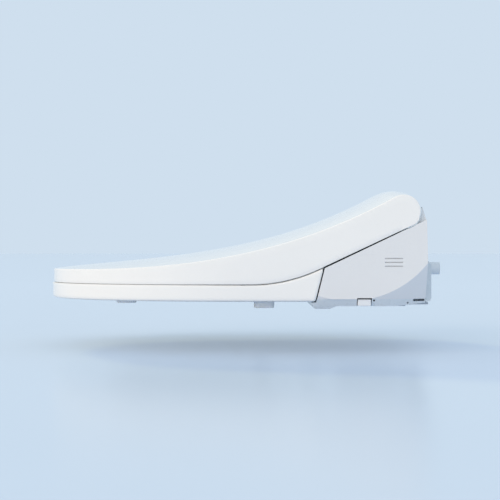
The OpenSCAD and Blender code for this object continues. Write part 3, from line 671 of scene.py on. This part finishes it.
def make_seat():
    """The seat ring: distances to its surfaces combined with rounded edges, then meshed."""
    step = 1.6
    margin, hinge_margin = 3.2, 21
    low = np.array([-HALF_W - margin, SEAT_TIP - margin, RING_Z - margin])
    high = np.array([HALF_W + margin, HINGE_Y + hinge_margin, HINGE_Z + hinge_margin])
    size = np.ceil((high - low) / step).astype(int) + 1
    xs, ys, zs = (low[d] + step * np.arange(size[d]) for d in range(3))
    flat = np.stack(np.meshgrid(xs, ys, indexing="ij"), -1).reshape(-1, 2)
    outside = distance_to_outline(flat, seat_outline(SEAT_TIP)).reshape(size[0], size[1], 1)
    inner = distance_to_outline(flat, seat_outline(SEAT_TIP + UPPER_TIP_INSET)).reshape(size[0], size[1], 1)
    hole = distance_to_outline(flat, egg_outline()).reshape(size[0], size[1], 1)
    x, y, z = np.abs(xs)[:, None, None], ys[None, :, None], zs[None, None, :]

    # the band below the seam reaches the outline, the ring above it stands inside the lid
    lean = 1 / np.sqrt(1 + (np.gradient(sit(ys), step) ** 2))[None, :, None]
    top = (z - sit(y)) * lean
    seam_down = z - (under_lid(y) - gap(y) / 2)
    upper = smooth_max(inner + UPPER_INSET, top, 9.0)
    lower = smooth_max(outside, seam_down, 1.6)
    body = np.minimum(upper, lower)
    body = smooth_max(body, top, 2.0)
    body = smooth_max(body, -hole, 16.0)
    body = smooth_max(body, RING_Z - z, 4.5)

    # room for the base, the rear edge, and the shoulders cut away beside the hinge arms
    base_side = np.maximum(base_front(z) - SEAM - y, (z - base_top(y) - 1.0) * math.cos(TOP_ANGLE))
    body = smooth_max(body, -base_side, 2.4)
    body = smooth_max(body, y + 36.0, 6.0)
    shoulders = np.maximum(144.0 - x, -60.0 - y)
    body = smooth_max(body, -shoulders, 6.0)

    # the two hinge arms, melted into the ring where they meet it
    side = np.stack(np.meshgrid(ys, zs, indexing="ij"), -1).reshape(-1, 2)
    arm = distance_to_outline(side, arm_outline()).reshape(1, size[1], size[2])
    arm = smooth_max(np.abs(x - ARM_X) - ARM_HALF_W, arm, 2.4)
    near = np.clip(4.0 - np.abs(body - arm), 0, None) / 4.0
    body = np.minimum(body, arm) - near * near

    # the recess that takes the underside plate
    recess_inset, recess_depth = UPPER_INSET + WALL, 3.2
    recess = np.maximum(np.maximum(inner + recess_inset, recess_inset - hole), z - (RING_Z + recess_depth))
    recess = np.maximum(recess, y - (base_front(z) - SEAM - WALL))
    body = np.maximum(body, -recess)
    points, quads = surface_net(np.broadcast_to(body, tuple(size)).astype(np.float32), low, step)
    obj = new_object("seat_ring", points.tolist(), quads.tolist(), 180.0)
    smooth = obj.modifiers.new("smooth", "SMOOTH")
    smooth.factor = 0.5
    smooth.iterations = 2
    apply_modifiers(obj)
    obj.data.shade_smooth()
    obj.data.set_sharp_from_angle(angle=math.radians(50))
    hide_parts("seat_top")
    outfit(obj, "seat", "white_gloss")


# ---------- pieces that follow their CAD node ----------

SLOTS = {s["node"]: s["material_slot"] for s in frame["record"]["subparts"]}
BODIES = {node: body for body, nodes in frame["record"]["behaviour"]["bodies"].items() for node in nodes}
# width of the rounded edge that each of these nodes gets
EDGES = {"upper_cover": 0.7, "lower_chassis": 0.7, "rear_panel": 0.8, "mounting_plate": 0.6,
         "release_button": 0.9, "seat_bumpers": 1.6, "lid_bumpers": 1.2, "cord_gland": 0.6, "inlet_nut": 0.4,
         "inlet_connector": 0.5, "hinge_towers": 1.2, "hinge_dampers": 0.5, "power_button": 0.5,
         "wash_button": 0.5, "seat_hinge_pins": 0.8, "lid_lugs": 0.8, "nozzle_guide": 0.5, "dryer_flap": 0.3,
         "seat_bottom": 0.5, "receiver_window": 0.4, "blower_housing": 0.8, "water_tank": 1.5,
         "power_supply": 0.6, "dryer_duct": 0.6}


def make_vent_gauze():
    """Pleated dust gauze: one strip set a little way into each intake slot of the base's cheek."""
    recess, thickness, pleats, depth, clearance = 0.8, 0.5, 32, 0.35, 0.02
    side = node_box("upper_cover")[1][0] - recess
    y0, y1 = SLOT_Y
    vertices, faces = [], []
    for slot in range(3):
        first = len(vertices)
        z0 = SLOT_Z + clearance + SLOT_PITCH * slot
        z1 = z0 + SLOT_H - 2 * clearance
        for k in range(2 * pleats + 1):
            y = y0 + (y1 - y0) * k / (2 * pleats)
            x = side - (depth if k % 2 else 0)
            vertices += [(x, y, z0), (x, y, z1), (x - thickness, y, z1), (x - thickness, y, z0)]
        for k in range(2 * pleats):
            a, b = first + 4 * k, first + 4 * k + 4
            faces += [(a + i, a + (i + 1) % 4, b + (i + 1) % 4, b + i) for i in range(4)]
        last = first + 8 * pleats
        faces += [(first, first + 3, first + 2, first + 1), (last, last + 1, last + 2, last + 3)]
    outfit(new_object("vent_gauze", vertices, faces, 20.0), "base", "gauze_grey")


def make_inlet_sleeve():
    """Turned sleeve round the inlet stub: a lip, a groove and seven fine ribs along it."""
    r, end = INLET_R, node_box("inlet_connector")[1][1]
    profile = [(r - 2.6, end - 0.2), (r - 2.2, end + 0.1), (r - 0.5, end + 0.1), (r + 0.1, end - 0.5),
               (r + 0.1, end - 2.6), (r - 0.1, end - 3.0), (r - 0.1, end - 4.6), (r + 0.1, end - 5.0)]
    first_rib, rib_pitch = 5.6, 1.34
    for k in range(7):
        top = end - first_rib - rib_pitch * k
        profile += [(r + 0.1, top), (r + 0.02, top - 0.4), (r + 0.02, top - 0.9)]
    count = 48
    turn = 2 * math.pi / count
    vertices = [(INLET_X + q * math.cos(turn * i), y, INLET_Z + q * math.sin(turn * i))
                for q, y in profile for i in range(count)]
    faces = []
    for j in range(len(profile) - 1):
        a, b = j * count, (j + 1) * count
        faces += [(a + i, a + (i + 1) % count, b + (i + 1) % count, b + i) for i in range(count)]
    outfit(new_object("inlet_sleeve", vertices, faces, 35.0), "base", "inlet_plastic")


make_lid()
make_seat()
for node, width in EDGES.items():
    outfit(bevelled_copy(node, node + "_moulding", width), BODIES[node], SLOTS[node])
make_vent_gauze()
make_inlet_sleeve()

# every other CAD node keeps its shape and gets its slot's material
for node, obj in frame["nodes"].items():
    obj.data.materials.clear()
    obj.data.materials.append(MATERIALS[SLOTS[node]])


# ---------- stage, lights and camera ----------

def make_floor():
    """A wide plain floor, a little below the part."""
    size, z = 40.0, FLOOR_Z * MM
    corners = [(-size, -size, z), (size, -size, z), (size, size, z), (-size, size, z)]
    mesh = bpy.data.meshes.new("floor")
    mesh.from_pydata(corners, [], [(0, 1, 2, 3)])
    floor = bpy.data.objects.new("floor", mesh)
    bpy.context.scene.collection.objects.link(floor)
    n = Nodes("floor")
    n.finish(Base_Color=(0.59, 0.70, 0.86, 1), Roughness=0.22, IOR=1.45)
    mesh.materials.append(n.material)


def sun(name, towards, strength, colour, angle_deg):
    """A sun that shines from the given direction, with a soft edge and no reflection of itself."""
    light = bpy.data.lights.new(name, "SUN")
    light.energy = strength
    light.color = colour
    light.angle = math.radians(angle_deg)
    obj = bpy.data.objects.new(name, light)
    obj.rotation_euler = Vector(towards).to_track_quat("Z", "Y").to_euler()
    obj.visible_glossy = False
    bpy.context.scene.collection.objects.link(obj)


def make_world():
    """An even pale backdrop that also fills in the light."""
    world = bpy.data.worlds.new("studio")
    bpy.context.scene.world = world
    world.use_nodes = True
    back = world.node_tree.nodes["Background"]
    back.inputs["Color"].default_value = (0.624, 0.738, 0.855, 1)
    back.inputs["Strength"].default_value = 1.0


def make_camera():
    """A level camera on the user's left; its place is in metres."""
    camera = bpy.data.cameras.new("camera")
    camera.sensor_width = 36.0
    camera.lens = 79.7
    obj = bpy.data.objects.new("camera", camera)
    obj.location = (1.610, -0.190, 0.0763)
    obj.rotation_euler = (math.radians(90), 0, math.radians(90))
    bpy.context.scene.collection.objects.link(obj)
    bpy.context.scene.camera = obj


make_floor()
make_world()
sun("key", (-0.20, -0.11, 0.12), 1.15, (1.0, 0.82, 0.34), 9)
sun("front", (0.61, -0.73, 0.31), 1.60, (1.0, 0.75, 0.48), 55)
sun("side", (1.0, 0.1, 0.12), 0.36, (1.0, 0.78, 0.5), 60)
make_camera()
bpy.context.scene.view_settings.view_transform = "Standard"
